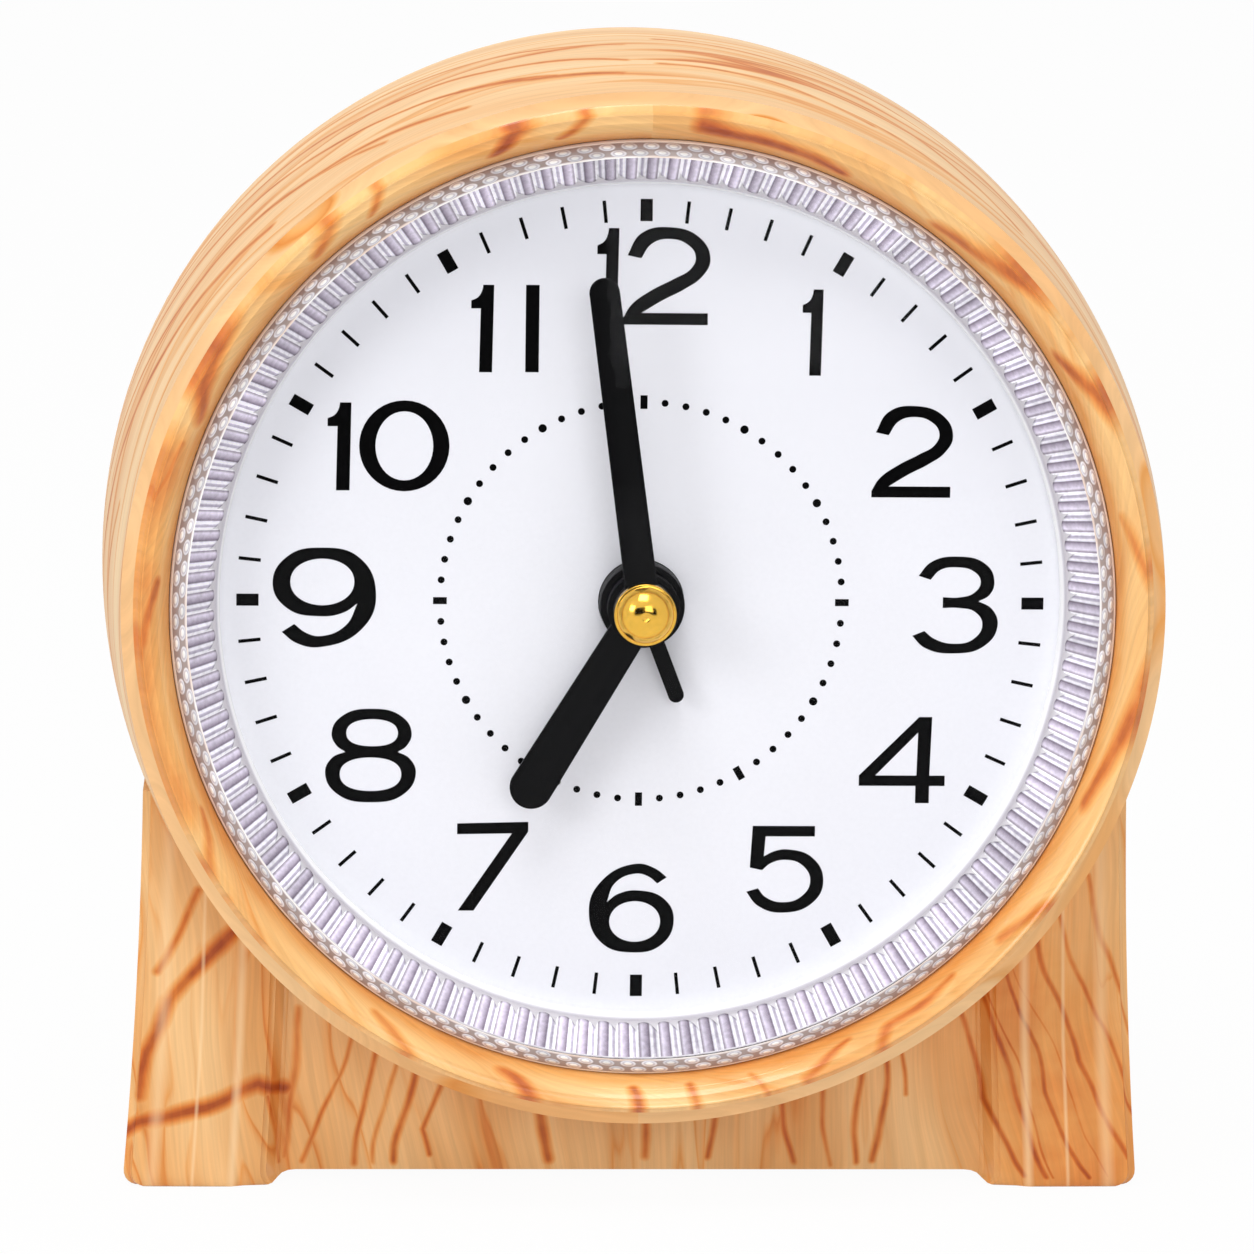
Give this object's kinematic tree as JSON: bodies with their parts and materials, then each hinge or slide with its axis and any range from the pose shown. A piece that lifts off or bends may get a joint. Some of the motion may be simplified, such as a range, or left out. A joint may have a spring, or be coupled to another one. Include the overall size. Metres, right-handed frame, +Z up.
{
  "type": "bedside alarm clock",
  "caption": "Round quartz alarm clock in a wood-grain plastic case on a moulded base, with clear ribbed dial ring, setting knobs and battery door at the back.",
  "frame": {"origin": "middle of the clock's footprint, on the table under its feet", "axes": "+Z up, the dial faces -Y, +X to the right seen from the front"},
  "size_m": [0.1038, 0.0498, 0.1099],
  "materials": {
    "wood_print": "gloss wood-grain print under clear film",
    "clear": "clear polished moulding",
    "ribbed_clear": "clear moulding with prisms",
    "dial_white": "printed white card",
    "hand_black": "black enamel on thin sheet",
    "cap_gold": "gold plated",
    "white_plastic": "satin moulding",
    "black_plastic": "satin moulding",
    "button_plastic": "satin moulding",
    "gear_white": "low-friction moulding",
    "gear_green": "low-friction moulding",
    "steel": "plated steel",
    "dark_steel": "laminated core steel",
    "magnet": "sintered magnet",
    "brass": "bare brass",
    "copper": "enamelled copper wire",
    "board_green": "solder mask",
    "cell_skin": "plain wrapped steel can",
    "lamp_clear": "clear cast lamp"
  },
  "bodies": {
    "case": {"front_case": "wood_print", "rear_cover": "wood_print", "lens": "clear", "ribbed_ring": "ribbed_clear", "dial": "dial_white", "dial_carrier": "white_plastic", "dial_lamps": "lamp_clear", "case_screws": "steel", "movement_front_plate": "black_plastic", "movement_middle_plate": "black_plastic", "movement_rear_shell": "black_plastic", "movement_screws": "steel", "stator": "dark_steel", "coil_bobbin": "white_plastic", "coil_winding": "copper", "circuit_board": "board_green", "quartz_crystal": "steel", "timer_chip": "black_plastic", "alarm_contact_leaf": "brass", "switch_board": "board_green", "button_board": "board_green", "push_switch": "black_plastic", "sounder_ring": "black_plastic", "sounder_disc": "brass", "battery_cell": "cell_skin", "battery_contact_plate": "steel", "battery_contact_spring": "steel"},
    "minute": {"minute_arbor": "gear_white", "minute_hand": "hand_black"},
    "hour": {"hour_wheel": "gear_white", "hour_hand": "hand_black"},
    "motion": {"motion_wheel": "gear_green"},
    "time_set": {"time_set_arbor": "white_plastic", "time_set_knob": "white_plastic"},
    "alarm": {"alarm_wheel": "gear_green", "alarm_hand": "hand_black"},
    "alarm_set": {"alarm_set_arbor": "white_plastic", "alarm_set_knob": "white_plastic"},
    "rotor_body": {"rotor": "magnet"},
    "step": {"step_wheel": "gear_white"},
    "seconds": {"seconds_wheel": "gear_white", "centre_cap": "cap_gold"},
    "third": {"third_wheel": "gear_green"},
    "centre": {"centre_gear": "gear_white"},
    "door": {"battery_door": "wood_print"},
    "switch": {"alarm_switch": "black_plastic"},
    "button": {"snooze_button": "button_plastic"}
  },
  "joints": [
    {"name": "minute_turn", "type": "hinge", "parent": "case", "child": "minute", "pos_m": [0, -0.0051, 0.058], "axis": [0, 1, 0], "continuous": true},
    {"name": "hour_turn", "type": "hinge", "parent": "case", "child": "hour", "pos_m": [0, -0.0051, 0.058], "axis": [0, 1, 0], "continuous": true},
    {"name": "motion_turn", "type": "hinge", "parent": "case", "child": "motion", "pos_m": [-0.0096, -0.0051, 0.058], "axis": [0, 1, 0], "continuous": true},
    {"name": "time_knob_turn", "type": "hinge", "parent": "case", "child": "time_set", "pos_m": [-0.0192, -0.0051, 0.058], "axis": [0, 1, 0], "continuous": true},
    {"name": "alarm_turn", "type": "hinge", "parent": "case", "child": "alarm", "pos_m": [0, -0.0051, 0.058], "axis": [0, 1, 0], "continuous": true},
    {"name": "alarm_knob_turn", "type": "hinge", "parent": "case", "child": "alarm_set", "pos_m": [0.0136, -0.0051, 0.058], "axis": [0, 1, 0], "continuous": true},
    {"name": "rotor_turn", "type": "hinge", "parent": "case", "child": "rotor_body", "pos_m": [0.0071, -0.0051, 0.07283], "axis": [0, 1, 0], "continuous": true},
    {"name": "step_turn", "type": "hinge", "parent": "case", "child": "step", "pos_m": [0, -0.0051, 0.07024], "axis": [0, 1, 0], "continuous": true},
    {"name": "seconds_turn", "type": "hinge", "parent": "case", "child": "seconds", "pos_m": [0, -0.0051, 0.058], "axis": [0, 1, 0], "continuous": true},
    {"name": "third_turn", "type": "hinge", "parent": "case", "child": "third", "pos_m": [0, -0.0051, 0.0461], "axis": [0, 1, 0], "continuous": true},
    {"name": "centre_gear_turn", "type": "hinge", "parent": "case", "child": "centre", "pos_m": [0, -0.0051, 0.058], "axis": [0, 1, 0], "continuous": true},
    {"name": "battery_door_hinge", "type": "hinge", "parent": "case", "child": "door", "pos_m": [0, 0.02395, 0.0081], "axis": [-1, 0, 0], "range_deg": [0, 85]},
    {"name": "alarm_switch_slide", "type": "slide", "parent": "case", "child": "switch", "axis": [1, 0, 0], "range_m": [0, 0.005]},
    {"name": "snooze_press", "type": "slide", "parent": "case", "child": "button", "axis": [0, -1, 0], "range_m": [0, 0.0012], "stiffness_N_per_m": 800, "springref_m": -0.0006}
  ],
  "couplings": [
    {"joint": "hour_turn", "follows": "minute_turn", "ratio": 0.083333},
    {"joint": "motion_turn", "follows": "minute_turn", "ratio": -0.33333},
    {"joint": "time_knob_turn", "follows": "minute_turn", "ratio": 1},
    {"joint": "alarm_knob_turn", "follows": "alarm_turn", "ratio": -2.4},
    {"joint": "step_turn", "follows": "rotor_turn", "ratio": -0.16667},
    {"joint": "seconds_turn", "follows": "rotor_turn", "ratio": 0.033333},
    {"joint": "third_turn", "follows": "rotor_turn", "ratio": -0.0044444},
    {"joint": "centre_gear_turn", "follows": "rotor_turn", "ratio": 0.00055556}
  ]
}
